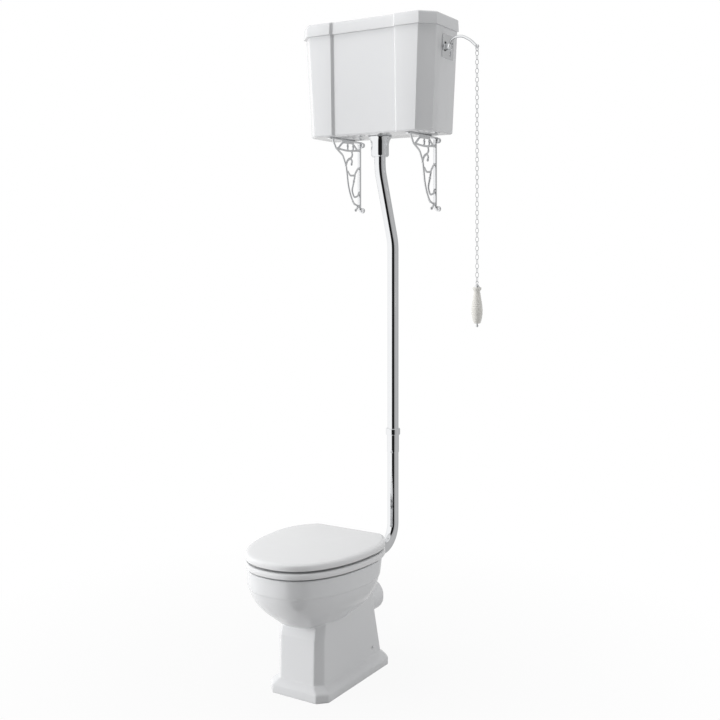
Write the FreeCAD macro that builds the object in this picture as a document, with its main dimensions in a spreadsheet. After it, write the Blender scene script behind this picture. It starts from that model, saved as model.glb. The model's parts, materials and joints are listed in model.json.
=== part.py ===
import FreeCAD, Part
import math
import os
import re
import Sketcher

# High level toilet: a pan on the floor, a cistern on two scroll brackets, and the flush pipe between them.
# Frame: origin on the floor under the middle of the plinth, +Z up, +Y towards the wall, millimetres.

sizes = {
    "wallPlane": 418,
    # pan foot
    "plinthWidth": 214, "plinthLength": 380, "plinthEdge": 24, "plinthTop": 40, "plinthCorner": 28,
    "columnHalf": 84, "columnFront": -174, "columnFoot": 181, "columnBack": 146, "columnCorner": 24,
    # pan rim and bowl
    "rimTop": 384, "rimHalf": 179, "rimFront": -316, "rimBack": 146, "bandBottom": 333,
    "mouthHalf": 132, "mouthFront": -268, "mouthBack": 60, "underRim": 348,
    "webHalf": 7, "footWall": 15, "fixingRadius": 4, "fixingSide": 120, "fixingHeight": 66,
    # waste and flush connections of the pan
    "spigotHeight": 190, "spigotRadius": 51, "spigotEnd": 245, "spigotLength": 60, "trapRadius": 36, "trapWall": 12,
    "hornHeight": 318, "hornRadius": 30, "hornBore": 23, "hornEnd": 190, "deckThickness": 34,
    # seat and lid
    "seatHalf": 185, "seatFront": -322, "seatOval": 160, "seatBack": 96, "lidBack": 118,
    "ringBottom": 388.5, "ringTop": 406.5, "ringHoleHalf": 117, "ringHoleFront": -252, "ringHoleBack": 30,
    "lidBottom": 412.5, "lidEdge": 431, "lidCrown": 441, "contactGap": 0.3,
    # seat hinges
    "hingeSide": 77.5, "hingeBack": 108, "hingeHeight": 404, "knuckleRadius": 5.5, "hingePin": 2.5,
    "runningFit": 0.05, "knuckleWidth": 11.7, "pillarWidth": 10, "sideGap": 0.3,
    # flush pipe
    "pipeRadius": 19, "pipeWall": 1.2, "pipeBack": 390.5, "outletBack": 304, "pipeTop": 1686,
    "jogTop": 1590, "jogBottom": 1346, "jogBend": 150, "elbowBend": 75, "pipeEnd": 232,
    "socketBottom": 632, "socketTop": 691, "collarTop": 713, "collarRadius": 24.5,
    "bellBottom": 1632, "bellRadius": 39.5, "bellNeck": 30,
    # cistern
    "cisternBottom": 1700, "cisternTop": 2035, "cisternBack": 379, "cisternWall": 9, "floorThickness": 12,
    "bottomHalf": 232.7, "bottomFront": 198, "bottomCorner": 41,
    "topHalf": 250.5, "topFront": 189.5, "topCorner": 43,
    "panelHalf": 120, "panelDepth": 8, "lidHalf": 255, "lidFront": 184.5, "lidTop": 2076, "lidFlare": 2,
    "lidSkin": 10, "lipDepth": 10,
    # siphon
    "chamberSide": 68, "chamberBack": 295, "chamberRadius": 38, "siphonWall": 3, "legRadius": 21,
    "tailRadius": 23, "siphonTop": 1900, "plungerHeight": 1760, "rodRadius": 3,
    # flush lever and chain
    "leverSide": 264, "leverHeight": 1972, "leverBack": 295, "leverPin": 3, "leverEyeHeight": 1962,
    "ringSide": 362, "eyeHeight": 1963, "ringRadius": 8, "ringWire": 1.4,
    "linkWire": 1.0, "linkHalf": 5, "linkLength": 16, "linkPitch": 14, "linkCount": 52,
    "handleTop": 1203, "handleLength": 116,
    # float valve
    "valveBack": 330, "valveHeight": 1965, "armSide": -206, "armHeight": 1948, "armReach": 150,
    "armDrop": 30, "armRadius": 2.5, "ballRadius": 36, "ballSocket": 8, "valveTail": 10.48, "valveShank": 10.2,
    "tailEnd": -292, "tailStart": -260,
    # brackets
    "bracketSide": 150, "bracketReach": 196, "bracketDrop": 244, "lugShift": 12, "lugHole": 2.75,
    "lugTop": 1688, "lugBottom": 1459, "scrollRadius": 3.6,
}

doc = FreeCAD.newDocument("high_level_toilet")
sheet = doc.addObject("Spreadsheet::Sheet", "Dims")
for row, (alias, number) in enumerate(sizes.items(), start=1):
    sheet.set("A%d" % row, alias)
    sheet.set("B%d" % row, str(number))
    sheet.setAlias("B%d" % row, alias)
doc.recompute()

nodes = []
xAxis = FreeCAD.Vector(1, 0, 0)
yAxis = FreeCAD.Vector(0, 1, 0)
zAxis = FreeCAD.Vector(0, 0, 1)


def size(alias):
    """A driving dimension, read back from the sheet."""
    return float(sheet.get(alias))


def formula(text):
    """Point every alias in an expression at the sheet."""
    return re.sub(r"[A-Za-z]\w*", lambda word: "Dims." + word.group() if word.group() in sizes else word.group(),
                  str(text))


def point(x, y, z):
    return FreeCAD.Vector(x, y, z)


def bindPlace(item, place):
    """Tie an object's position to expressions."""
    for letter, text in zip("xyz", place):
        item.setExpression("Placement.Base." + letter, formula(text))


def node(item, label):
    """Name an object as a finished sub-part."""
    item.Label = label
    nodes.append(item)
    return item


# ---- primitives bound to the sheet -------------------------------------------------------------------

def box(low, high):
    item = doc.addObject("Part::Box", "block")
    for side, start, end in zip(("Length", "Width", "Height"), low, high):
        item.setExpression(side, formula("(%s) - (%s)" % (end, start)))
    bindPlace(item, low)
    return item


def rod(radius, start, length, direction=zAxis, topRadius=None):
    """A cylinder, or a cone where a second radius is given, from start along direction."""
    item = doc.addObject("Part::Cylinder" if topRadius is None else "Part::Cone", "rod")
    if topRadius is None:
        item.setExpression("Radius", formula(radius))
    else:
        item.setExpression("Radius1", formula(radius))
        item.setExpression("Radius2", formula(topRadius))
    item.setExpression("Height", formula(length))
    item.Placement.Rotation = FreeCAD.Rotation(zAxis, direction)
    bindPlace(item, start)
    return item


def ball(radius, centre):
    item = doc.addObject("Part::Sphere", "ball")
    item.setExpression("Radius", formula(radius))
    bindPlace(item, centre)
    return item


def hoop(radius, wire, centre, axis):
    item = doc.addObject("Part::Torus", "hoop")
    item.setExpression("Radius1", formula(radius))
    item.setExpression("Radius2", formula(wire))
    item.Placement.Rotation = FreeCAD.Rotation(zAxis, axis)
    bindPlace(item, centre)
    return item


def hexagon(across, start, length, direction=zAxis):
    item = doc.addObject("Part::Prism", "hexagon")
    item.Polygon = 6
    item.setExpression("Circumradius", formula(across))
    item.setExpression("Height", formula(length))
    item.Placement.Rotation = FreeCAD.Rotation(zAxis, direction)
    bindPlace(item, start)
    return item


def joined(*items):
    item = doc.addObject("Part::MultiFuse", "joined")
    item.Shapes = list(items)
    return item


def minus(base, *tools):
    item = doc.addObject("Part::Cut", "cut")
    item.Base = base
    item.Tool = tools[0] if len(tools) == 1 else joined(*tools)
    return item


def group(*items):
    """Separate identical solids kept in one node."""
    item = doc.addObject("Part::Compound", "group")
    item.Links = list(items)
    return item


def shaped(shape):
    """A sub-part whose shape is worked out from curves."""
    item = doc.addObject("Part::Feature", "shaped")
    item.Shape = shape
    return item


# ---- bodies made from sketches ------------------------------------------------------------------------

def drawOutline(sketch, corners):
    """A closed outline of straight lines, every corner held by two bound distances."""
    places = [point(float(sketch.evalExpression(formula(across))), float(sketch.evalExpression(formula(up))), 0)
              for across, up in corners]
    for start, end in zip(places, places[1:] + places[:1]):
        sketch.addGeometry(Part.LineSegment(start, end), False)
    for line in range(len(corners)):
        sketch.addConstraint(Sketcher.Constraint("Coincident", line, 2, (line + 1) % len(corners), 1))
    for line, (corner, place) in enumerate(zip(corners, places)):
        for kind, text, amount, axis in (("DistanceX", corner[0], place.x, -2), ("DistanceY", corner[1], place.y, -1)):
            if abs(amount) < 1e-9:
                sketch.addConstraint(Sketcher.Constraint("PointOnObject", line, 1, axis))
                continue
            held = sketch.addConstraint(Sketcher.Constraint(kind, -1, 1, line, 1, amount))
            sketch.setExpression("Constraints[%d]" % held, formula(text))


def startBody(corners, planeRole):
    body = doc.addObject("PartDesign::Body", "body")
    sketch = body.newObject("Sketcher::SketchObject", "outline")
    plane = [feature for feature in body.Origin.OriginFeatures if feature.Role == planeRole][0]
    sketch.AttachmentSupport = (plane, [""])
    sketch.MapMode = "FlatFace"
    drawOutline(sketch, corners)
    return body, sketch


def turned(corners, place, direction=zAxis):
    """A body of revolution: corners are (radius, height) pairs about the vertical axis of its sketch."""
    body, sketch = startBody(corners, "XZ_Plane")
    turn = body.newObject("PartDesign::Revolution", "turn")
    turn.Profile = sketch
    turn.ReferenceAxis = (sketch, ["V_Axis"])
    turn.Angle = 360
    sketch.Visibility = False
    body.Placement.Rotation = FreeCAD.Rotation(zAxis, direction)
    bindPlace(body, place)
    return body


# ---- curves -------------------------------------------------------------------------------------------

def ovalWire(height, half, front, back, inset=0.0, count=32):
    """A seat-shaped outline: fuller than an ellipse in front, an ellipse behind the widest place."""
    half = half - inset
    front = front + inset
    back = back - inset
    widest = front + 0.62 * (back - front)
    points = []
    for step in range(count):
        angle = 2 * math.pi * step / count
        across, along = math.cos(angle), math.sin(angle)
        power = 2 / 2.3 if along < 0 else 1.0
        reach = widest - front if along < 0 else back - widest
        x = half * math.copysign(abs(across) ** power, across)
        y = widest + reach * math.copysign(abs(along) ** power, along)
        points.append(point(x, y, height))
    curve = Part.BSplineCurve()
    curve.interpolate(points, PeriodicFlag=True)
    return Part.Wire([curve.toShape()])


def polygonWire(corners, height):
    places = [point(x, y, height) for x, y in corners]
    return Part.makePolygon(places + places[:1])


def loft(wires, ruled=False):
    return Part.makeLoft(wires, True, ruled)


def runShape(points, radius):
    """Straight tubes with a ball at every turn."""
    pieces = []
    for start, end in zip(points, points[1:]):
        pieces.append(Part.makeCylinder(radius, (end - start).Length, start, end - start))
    for place in points[1:-1]:
        pieces.append(Part.makeSphere(radius, place))
    return pieces[0].multiFuse(pieces[1:]).removeSplitter()


def bentPath(points, radii):
    """Straight runs joined by tangent arcs, one radius for each inner point."""
    edges = []
    last = points[0]
    for before, corner, after, radius in zip(points, points[1:], points[2:], radii):
        inward = (before - corner).normalize()
        outward = (after - corner).normalize()
        half = inward.getAngle(outward) / 2
        reach = radius / math.tan(half)
        middle = (inward + outward).normalize()
        centre = corner + middle * (radius / math.sin(half))
        start = corner + inward * reach
        end = corner + outward * reach
        if (start - last).Length > 1e-6:
            edges.append(Part.LineSegment(last, start).toShape())
        edges.append(Part.Arc(start, centre - middle * radius, end).toShape())
        last = end
    edges.append(Part.LineSegment(last, points[-1]).toShape())
    return Part.Wire(edges)


def sweep(path, radius):
    """A round bar along a path."""
    edge = path.OrderedEdges[0]
    start = edge.valueAt(edge.FirstParameter)
    tangent = edge.tangentAt(edge.FirstParameter)
    if (start - path.OrderedVertexes[0].Point).Length > 1e-6:
        start = edge.valueAt(edge.LastParameter)
        tangent = edge.tangentAt(edge.LastParameter).negative()
    ring = Part.Wire([Part.makeCircle(radius, start, tangent)])
    return path.makePipeShell([ring], True, False)


# ---- pan ----------------------------------------------------------------------------------------------

def footCorners(half, front, back, corner):
    """A long rectangle with its four corners cut off."""
    return [(-half + corner, front), (half - corner, front), (half, front + corner), (half, back - corner / 2),
            (half - corner / 2, back), (-half + corner / 2, back), (-half, back - corner / 2), (-half, front + corner)]


# (height, half width, front, back) of the bowl's outside, its basin and the basin's wall below
bowlSections = [(304, 165, -301, 128), (278, 149, -283, 126), (254, 128, -258, 126), (234, 107, -232, 98),
                (216, 86, -206, 50), (206, 77, -174, 40)]
basinSections = [(300, 138, -272, 72), (250, 106, -220, 58), (205, 66, -142, 50), (165, 46, -100, 42),
                 (132, 34, -56, 24)]
basinWall = [(212, 82, -158, 66), (190, 70, -138, 62), (165, 60, -120, 56), (116, 46, -70, 38)]


def makePan():
    half = size("plinthWidth") / 2
    end = size("plinthLength") / 2
    corner = size("plinthCorner")
    top = size("plinthTop")
    columnHalf = size("columnHalf")
    columnCorner = size("columnCorner")
    plinth = loft([polygonWire(footCorners(half, -end, end, corner), 0),
                   polygonWire(footCorners(half, -end, end, corner), size("plinthEdge"))], True)
    slope = loft([polygonWire(footCorners(half, -end, end, corner), size("plinthEdge")),
                  polygonWire(footCorners(half - 8, 5 - end, end - 3, corner - 2), top - 8),
                  polygonWire(footCorners(half - 19, 12 - end, end - 6, corner - 3), top)], True)
    column = loft([polygonWire(footCorners(columnHalf, size("columnFront"), size("columnFoot"), columnCorner), top - 6),
                   polygonWire(footCorners(columnHalf - 2, size("columnFront") + 3, size("columnBack"),
                                           columnCorner - 2), 172),
                   polygonWire(footCorners(columnHalf - 8, size("columnFront") + 45, size("columnBack") - 26,
                                           columnCorner - 2), 330)], True)
    band = loft([ovalWire(size("bandBottom"), size("rimHalf") - 2, size("rimFront") + 2, size("rimBack") - 12),
                 ovalWire(size("rimTop"), size("rimHalf"), size("rimFront"), size("rimBack"))], True)
    bandStep = (size("bandBottom") + 1, size("rimHalf") - 5, size("rimFront") + 5, size("rimBack") - 16)
    bowl = loft([ovalWire(*section) for section in [bandStep] + bowlSections])
    spigotCentre = size("spigotHeight")
    trap = [point(0, -30, 150), point(0, 40, 152), point(0, 104, 246), point(0, 165, spigotCentre),
            point(0, size("spigotEnd"), spigotCentre)]
    trapOuter = runShape(trap, size("trapRadius") + size("trapWall"))
    spigotStart = size("spigotEnd") - size("spigotLength")
    spigot = Part.makeCylinder(size("spigotRadius"), size("spigotLength"), point(0, spigotStart, spigotCentre), yAxis)
    spigot = spigot.fuse(Part.makeCylinder(size("spigotRadius") - 1.5, 60, point(0, spigotStart - 60, spigotCentre),
                                           yAxis))
    horn = Part.makeCylinder(size("hornRadius"), size("hornEnd") - 90, point(0, 90, size("hornHeight")), yAxis)
    body = plinth.multiFuse([slope, column, band, bowl, spigot, horn])
    mouth = loft([ovalWire(size("underRim"), size("mouthHalf"), size("mouthFront"), size("mouthBack")),
                  ovalWire(size("rimTop") + 5, size("mouthHalf"), size("mouthFront"), size("mouthBack"))], True)
    underRim = (size("underRim") + 1, size("mouthHalf") + 14, size("mouthFront") - 16, size("mouthBack") + 12)
    basin = loft([ovalWire(*section) for section in [underRim] + basinSections])
    wall = size("footWall")
    web = size("webHalf")
    frontVoid = loft([polygonWire(footCorners(columnHalf - wall, size("columnFront") + wall + 5, -web, 18), -1),
                      polygonWire(footCorners(columnHalf - wall - 4, size("columnFront") + wall + 10, -web, 18), 118)],
                     True)
    backVoid = loft([polygonWire(footCorners(columnHalf - wall, web, size("columnFoot") - wall, 18), -1),
                     polygonWire(footCorners(columnHalf - wall - 4, web, size("columnBack") - wall, 18), 140)], True)
    basinOuter = loft([ovalWire(*section) for section in basinWall])
    voids = frontVoid.multiFuse([backVoid]).cut(trapOuter.multiFuse([basinOuter]))
    cutters = [mouth, basin, runShape(trap[1:-1] + [point(0, size("spigotEnd") + 5, spigotCentre)],
                                      size("trapRadius")),
               Part.makeCylinder(size("spigotRadius") - 9, 60, point(0, size("spigotEnd") - 55, spigotCentre), yAxis),
               Part.makeCylinder(size("hornBore"), 160, point(0, size("hornEnd") - 155, size("hornHeight")), yAxis),
               Part.makeCylinder(size("fixingRadius"), 300, point(-150, size("fixingSide"), size("fixingHeight")),
                                 xAxis), voids]
    for side in (-1, 1):
        x = side * size("hingeSide")
        deckUnder = size("rimTop") - size("deckThickness")
        cutters.append(Part.makeCylinder(4.5, 60, point(x, size("hingeBack"), size("rimTop") - 55)))
        cutters.append(Part.makeCylinder(19, 80, point(x, size("hingeBack"), deckUnder - 80)))
    for cutter in cutters:
        body = body.cut(cutter)
    return body.removeSplitter()


node(shaped(makePan()), "pan_body")


# ---- seat, lid and their hinges -------------------------------------------------------------------------

def ovalSlab(sections, straightBack, hole=None):
    """A slab through oval sections (height, inset), cut straight across the back."""
    half, front, back = size("seatHalf"), size("seatFront"), size("seatOval")
    wires = [ovalWire(height, half, front, back, inset) for height, inset in sections]
    slab = loft(wires[:2], True)
    for lower, upper in zip(wires[1:], wires[2:]):
        slab = slab.fuse(loft([lower, upper], True))
    low = sections[0][0] - 1
    tall = sections[-1][0] - low + 1
    slab = slab.cut(Part.makeBox(500, 200, tall, point(-250, straightBack, low)))
    if hole:
        slab = slab.cut(loft([ovalWire(low, *hole), ovalWire(low + tall, *hole)], True))
    return slab.removeSplitter()


def knucklePlate(side, first, low, high):
    """The flat tail by which a hinge knuckle is let into the seat or the lid."""
    start = "%s" % first if side > 0 else "-(%s) - knuckleWidth" % first
    return box((start, "hingeBack - 32", low), ("%s + knuckleWidth" % start, "hingeBack - 3", high))


seatFirst = "hingeSide - pillarWidth / 2 - sideGap - knuckleWidth"
lidFirst = "hingeSide + pillarWidth / 2 + sideGap"
ringBlank = shaped(ovalSlab([(size("ringBottom"), 3), (size("ringBottom") + 3, 0), (size("ringTop") - 4, 0),
                             (size("ringTop"), 4)], size("seatBack"),
                            (size("ringHoleHalf"), size("ringHoleFront"), size("ringHoleBack"))))
lidBlank = shaped(ovalSlab([(size("lidBottom"), 3), (size("lidBottom") + 3, 0), (size("lidEdge"), 0),
                            (size("lidEdge") + 6, 6), (size("lidCrown"), 34)], size("lidBack")))
node(minus(ringBlank, *[knucklePlate(side, seatFirst, "hingeHeight - 3", "hingeHeight + 2") for side in (-1, 1)]),
     "seat_ring")
node(minus(lidBlank, *[knucklePlate(side, lidFirst, "lidBottom - 1", "lidBottom + 3") for side in (-1, 1)]),
     "seat_lid")


def hingeSpan(side, first, width):
    """Where a hinge piece starts along X, on either side."""
    return "%s" % first if side > 0 else "-(%s) - (%s)" % (first, width)


def seatKnuckle(side):
    start = hingeSpan(side, seatFirst, "knuckleWidth")
    barrel = rod("knuckleRadius", (start, "hingeBack", "hingeHeight"), "knuckleWidth", xAxis)
    solid = joined(barrel, knucklePlate(side, seatFirst, "hingeHeight - 3", "hingeHeight + 2"))
    return minus(solid, rod("hingePin + runningFit", (start + " - 1", "hingeBack", "hingeHeight"),
                            "knuckleWidth + 2", xAxis))


def lidKnuckle(side):
    start = hingeSpan(side, lidFirst, "knuckleWidth")
    barrel = rod("knuckleRadius", (start, "hingeBack", "hingeHeight"), "knuckleWidth", xAxis)
    neck = box((start, "hingeBack - knuckleRadius", "hingeHeight"),
               (start + " + knuckleWidth", "hingeBack + knuckleRadius", "lidBottom"))
    solid = joined(barrel, neck, knucklePlate(side, lidFirst, "lidBottom", "lidBottom + 3"))
    return minus(solid, rod("hingePin + runningFit", (start + " - 1", "hingeBack", "hingeHeight"),
                            "knuckleWidth + 2", xAxis))


def hingePillar(side):
    x = "%d * hingeSide" % side
    foot = rod(11, (x, "hingeBack", "rimTop"), 3)
    post = box((x + " - pillarWidth / 2", "hingeBack - knuckleRadius", "rimTop + 2"),
               (x + " + pillarWidth / 2", "hingeBack + knuckleRadius", "hingeHeight"))
    crown = rod("knuckleRadius", (x + " - pillarWidth / 2", "hingeBack", "hingeHeight"), "pillarWidth", xAxis)
    return minus(joined(foot, post, crown),
                 rod("hingePin", (x + " - pillarWidth", "hingeBack", "hingeHeight"), "2 * pillarWidth", xAxis))


node(group(*[seatKnuckle(side) for side in (-1, 1)]), "seat_hinge_knuckles")
node(group(*[lidKnuckle(side) for side in (-1, 1)]), "lid_hinge_knuckles")
node(group(*[hingePillar(side) for side in (-1, 1)]), "hinge_pillars")
node(group(*[rod("hingePin", (hingeSpan(side, seatFirst, "2 * knuckleWidth + pillarWidth + 2 * sideGap"),
                              "hingeBack", "hingeHeight"), "2 * knuckleWidth + pillarWidth + 2 * sideGap", xAxis)
             for side in (-1, 1)]), "hinge_pins")
node(group(*[rod(3, ("%d * hingeSide" % side, "hingeBack", "rimTop - 62"), 62) for side in (-1, 1)]),
     "seat_fixing_bolts")
node(group(*[turned([(3.1, 0), (16, 0), (16, 3), (8, 7), (3.1, 7)],
                    ("%d * hingeSide" % side, "hingeBack", "rimTop - deckThickness - 7")) for side in (-1, 1)]),
     "seat_fixing_washers")


def wingNut(side):
    x = "%d * hingeSide" % side
    low = "rimTop - deckThickness - 19"
    barrel = rod(7, (x, "hingeBack", low), 12)
    wings = box((x + " - 15", "hingeBack - 1.5", low), (x + " + 15", "hingeBack + 1.5", low + " + 9"))
    return minus(joined(barrel, wings), rod(3, (x, "hingeBack", low + " - 1"), 14))


node(group(*[wingNut(side) for side in (-1, 1)]), "seat_wing_nuts")
node(group(*[rod(7, (x, y, "rimTop + contactGap"), "ringBottom - rimTop - contactGap")
             for x, y in ((-152, -60), (152, -60), (-95, -248), (95, -248))]), "seat_buffers")
node(group(*[rod(6, (x, y, "ringTop + contactGap"), "lidBottom - ringTop - contactGap")
             for x, y in ((-150, -90), (150, -90), (-62, -272), (62, -272))]), "lid_buffers")


# ---- flush pipe ---------------------------------------------------------------------------------------

def tubeAlong(points, radii, outer, inner):
    path = bentPath(points, radii)
    return sweep(path, outer).cut(sweep(path, inner))


outlet, pipeBack = size("outletBack"), size("pipeBack")
upperRun = [point(0, outlet, size("pipeTop")), point(0, outlet, size("jogTop")),
            point(0, pipeBack, size("jogBottom")), point(0, pipeBack, size("socketBottom") + 8)]
node(shaped(tubeAlong(upperRun, [size("jogBend")] * 2, size("pipeRadius"),
                      size("pipeRadius") - size("pipeWall"))), "flush_pipe_upper")

lowerRun = [point(0, pipeBack, size("socketBottom") + 4), point(0, pipeBack, size("hornHeight")),
            point(0, size("pipeEnd"), size("hornHeight"))]
lowerTube = shaped(tubeAlong(lowerRun, [size("elbowBend")], size("pipeRadius"),
                             size("pipeRadius") - size("pipeWall")))
socket = minus(rod("pipeRadius + 1.5", (0, "pipeBack", "socketBottom"), "socketTop - socketBottom"),
               rod("pipeRadius + runningFit", (0, "pipeBack", "socketBottom + 4"), "socketTop - socketBottom"),
               rod("pipeRadius - pipeWall", (0, "pipeBack", "socketBottom - 1"), 10))
node(joined(lowerTube, socket), "flush_pipe_lower")
node(turned([("pipeRadius + 0.1", "socketTop"), ("collarRadius - 1.5", "socketTop"),
             ("collarRadius", "socketTop + 2"), ("collarRadius", "collarTop - 3"),
             ("collarRadius - 2", "collarTop"), ("pipeRadius + 0.1", "collarTop"),
             ("pipeRadius + 0.1", "socketTop + 8"), ("pipeRadius + 2.5", "socketTop + 6"),
             ("pipeRadius + 2.5", "socketTop + 2"), ("pipeRadius + 0.1", "socketTop + 1")],
            (0, "pipeBack", 0)), "pipe_collar")
node(hoop("pipeRadius + 1.25", 1.1, (0, "pipeBack", "socketTop + 4"), zAxis), "collar_seal")
node(turned([("pipeRadius + 0.3", "bellBottom"), ("bellNeck - 4", "bellBottom"), ("bellNeck", "bellBottom + 5"),
             ("bellNeck", "bellBottom + 42"), ("bellNeck + 2.5", "bellBottom + 54"),
             ("bellRadius - 1.5", "cisternBottom - 5"), ("bellRadius", "cisternBottom - 3"),
             ("bellRadius", "cisternBottom"), ("bellRadius - 3", "cisternBottom"),
             ("bellNeck + 0.5", "bellBottom + 54"), ("bellNeck - 2", "bellBottom + 42"),
             ("bellNeck - 2", "bellBottom + 5"), ("pipeRadius + 0.3", "bellBottom + 2")],
            (0, "outletBack", 0)), "bell_cover")
node(turned([("pipeRadius + 0.1", "hornEnd - 24"), ("hornBore", "hornEnd - 24"), ("hornBore", "hornEnd"),
             ("hornRadius + 3", "hornEnd"), ("hornRadius + 3", "hornEnd + 5"), ("pipeRadius + 4", "pipeEnd + 18"),
             ("pipeRadius + 0.1", "pipeEnd + 18"), ("pipeRadius + 0.1", "pipeEnd"),
             ("pipeRadius - 2", "pipeEnd - 1"), ("pipeRadius - 2", "hornEnd - 24")],
            (0, 0, "hornHeight"), yAxis), "flush_cone")


# ---- cistern ------------------------------------------------------------------------------------------

def cisternCorners(half, front, corner, back, panelDepth=0.0):
    """A plan with cut front corners and, where asked for, a sunk middle panel in the front."""
    panel = size("panelHalf")
    corners = [(-half, back), (-half, front + corner), (-half + corner, front)]
    if panelDepth:
        corners += [(-panel - panelDepth / 2, front), (-panel + panelDepth / 2, front + panelDepth),
                    (panel - panelDepth / 2, front + panelDepth), (panel + panelDepth / 2, front)]
    return corners + [(half - corner, front), (half, front + corner), (half, back)]


def sideAt(height):
    """Half width of the tapered cistern at a height."""
    share = (height - size("cisternBottom")) / (size("cisternTop") - size("cisternBottom"))
    return size("bottomHalf") + share * (size("topHalf") - size("bottomHalf"))


def makeCistern():
    bottom, top = size("cisternBottom"), size("cisternTop") - size("contactGap")
    wall, back, deep = size("cisternWall"), size("cisternBack"), size("panelDepth")
    soft = 4
    outer = loft([polygonWire(cisternCorners(size("bottomHalf"), size("bottomFront"), size("bottomCorner"), back, deep),
                              bottom + soft),
                  polygonWire(cisternCorners(size("topHalf"), size("topFront"), size("topCorner"), back, deep), top)],
                 True)
    rounding = loft([polygonWire(cisternCorners(size("bottomHalf") - soft, size("bottomFront") + soft,
                                                size("bottomCorner"), back - soft, deep), bottom),
                     polygonWire(cisternCorners(size("bottomHalf"), size("bottomFront"), size("bottomCorner"),
                                                back, deep), bottom + soft)], True)
    inner = loft([polygonWire(cisternCorners(size("bottomHalf") - wall, size("bottomFront") + wall + deep,
                                             size("bottomCorner") - 4, back - wall), bottom + size("floorThickness")),
                  polygonWire(cisternCorners(size("topHalf") - wall, size("topFront") + wall + deep,
                                             size("topCorner") - 4, back - wall), top + 1)], True)
    body = outer.fuse(rounding).cut(inner)
    body = body.cut(Part.makeCylinder(size("tailRadius") + 1, 40, point(0, size("outletBack"), bottom - 10)))
    body = body.cut(Part.makeBox(60, 18, 36, point(220, size("leverBack") - 9, size("leverHeight") - 16)))
    body = body.cut(Part.makeCylinder(size("valveTail") + 0.5, 60,
                                      point(-270, size("valveBack"), size("valveHeight")), xAxis))
    for y, z in screwPlaces:
        body = body.cut(Part.makeCylinder(3.2, 60, point(220, y, z), xAxis))
    return body.removeSplitter()


screwPlaces = [(345, 2004), (345, 1990)]
node(shaped(makeCistern()), "cistern_body")


def makeCisternLid():
    bottom, top, half, front = size("cisternTop"), size("lidTop"), size("lidHalf"), size("lidFront")
    back, deep, flare, corner = size("cisternBack"), size("panelDepth"), size("lidFlare"), size("topCorner")
    wall = size("cisternWall")
    plans = [(bottom, flare), (top - 6, 0), (top - 2, -1.5), (top, -5)]
    wires = [polygonWire(cisternCorners(half + grow, front - grow, corner, back, deep), height)
             for height, grow in plans]
    body = loft(wires[:2], True)
    for lower, upper in zip(wires[1:], wires[2:]):
        body = body.fuse(loft([lower, upper], True))
    hollow = cisternCorners(size("topHalf") - wall - 8, size("topFront") + wall + deep + 8, corner - 6, back - wall - 8)
    body = body.cut(loft([polygonWire(hollow, bottom - 1), polygonWire(hollow, top - size("lidSkin"))], True))
    lipOuter = cisternCorners(size("topHalf") - wall - 2, size("topFront") + wall + deep + 2, corner - 5,
                              back - wall - 2)
    lip = loft([polygonWire(lipOuter, bottom - size("lipDepth")), polygonWire(lipOuter, bottom)], True)
    lip = lip.cut(loft([polygonWire(hollow, bottom - size("lipDepth") - 1), polygonWire(hollow, bottom + 1)], True))
    return body.fuse(lip).removeSplitter()


node(shaped(makeCisternLid()), "cistern_lid")


# ---- siphon -------------------------------------------------------------------------------------------

floorTop = "cisternBottom + floorThickness"
siphonOuter = joined(
    rod("tailRadius", (0, "outletBack", "cisternBottom - 46"), "50 + floorThickness"),
    rod(34, (0, "outletBack", floorTop + " + 3"), 4),
    rod("legRadius", (0, "outletBack", floorTop), "siphonTop - cisternBottom - floorThickness"),
    rod("chamberRadius", ("chamberSide", "chamberBack", "cisternBottom + 45"), "siphonTop - cisternBottom - 45"),
    box((0, "outletBack - legRadius", "siphonTop - 38"), ("chamberSide", "outletBack + legRadius", "siphonTop")),
    rod(8, ("chamberSide", "chamberBack", "siphonTop - 1"), 9))
siphonInner = joined(
    rod("pipeRadius + runningFit", (0, "outletBack", "cisternBottom - 47"), 36),
    rod("legRadius - siphonWall", (0, "outletBack", "cisternBottom - 20"), "siphonTop - cisternBottom + 16"),
    rod("chamberRadius - siphonWall", ("chamberSide", "chamberBack", "cisternBottom + 44"),
        "siphonTop - cisternBottom - 48"),
    box((0, "outletBack - legRadius + siphonWall", "siphonTop - 35"),
        ("chamberSide", "outletBack + legRadius - siphonWall", "siphonTop - 4")),
    rod("rodRadius + 0.1", ("chamberSide", "chamberBack", "siphonTop - 10"), 30))
node(minus(siphonOuter, siphonInner), "siphon_body")
node(minus(rod(32, (0, "outletBack", floorTop), 3), rod("tailRadius", (0, "outletBack", floorTop + " - 1"), 5)),
     "siphon_seal")
node(minus(hexagon(31, (0, "outletBack", "cisternBottom - 9"), 9),
           rod("tailRadius", (0, "outletBack", "cisternBottom - 10"), 11)), "siphon_backnut")
plate = rod("chamberRadius - siphonWall - 0.5", ("chamberSide", "chamberBack", "plungerHeight"), 5)
ports = [rod(6.5, ("chamberSide + %d" % dx, "chamberBack + %d" % dy, "plungerHeight - 1"), 7)
         for dx, dy in ((17, 0), (-17, 0), (0, 17), (0, -17))]
node(minus(plate, rod("rodRadius", ("chamberSide", "chamberBack", "plungerHeight - 1"), 7), *ports),
     "siphon_plunger")
node(minus(rod("chamberRadius - siphonWall - 1.5", ("chamberSide", "chamberBack", "plungerHeight + 5"), 1.5),
           rod("rodRadius", ("chamberSide", "chamberBack", "plungerHeight + 4"), 4)), "plunger_diaphragm")
node(rod("rodRadius", ("chamberSide", "chamberBack", "plungerHeight - 6"), "siphonTop + 34 - plungerHeight"),
     "lift_rod")
linkFoot = "siphonTop + 28"
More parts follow.
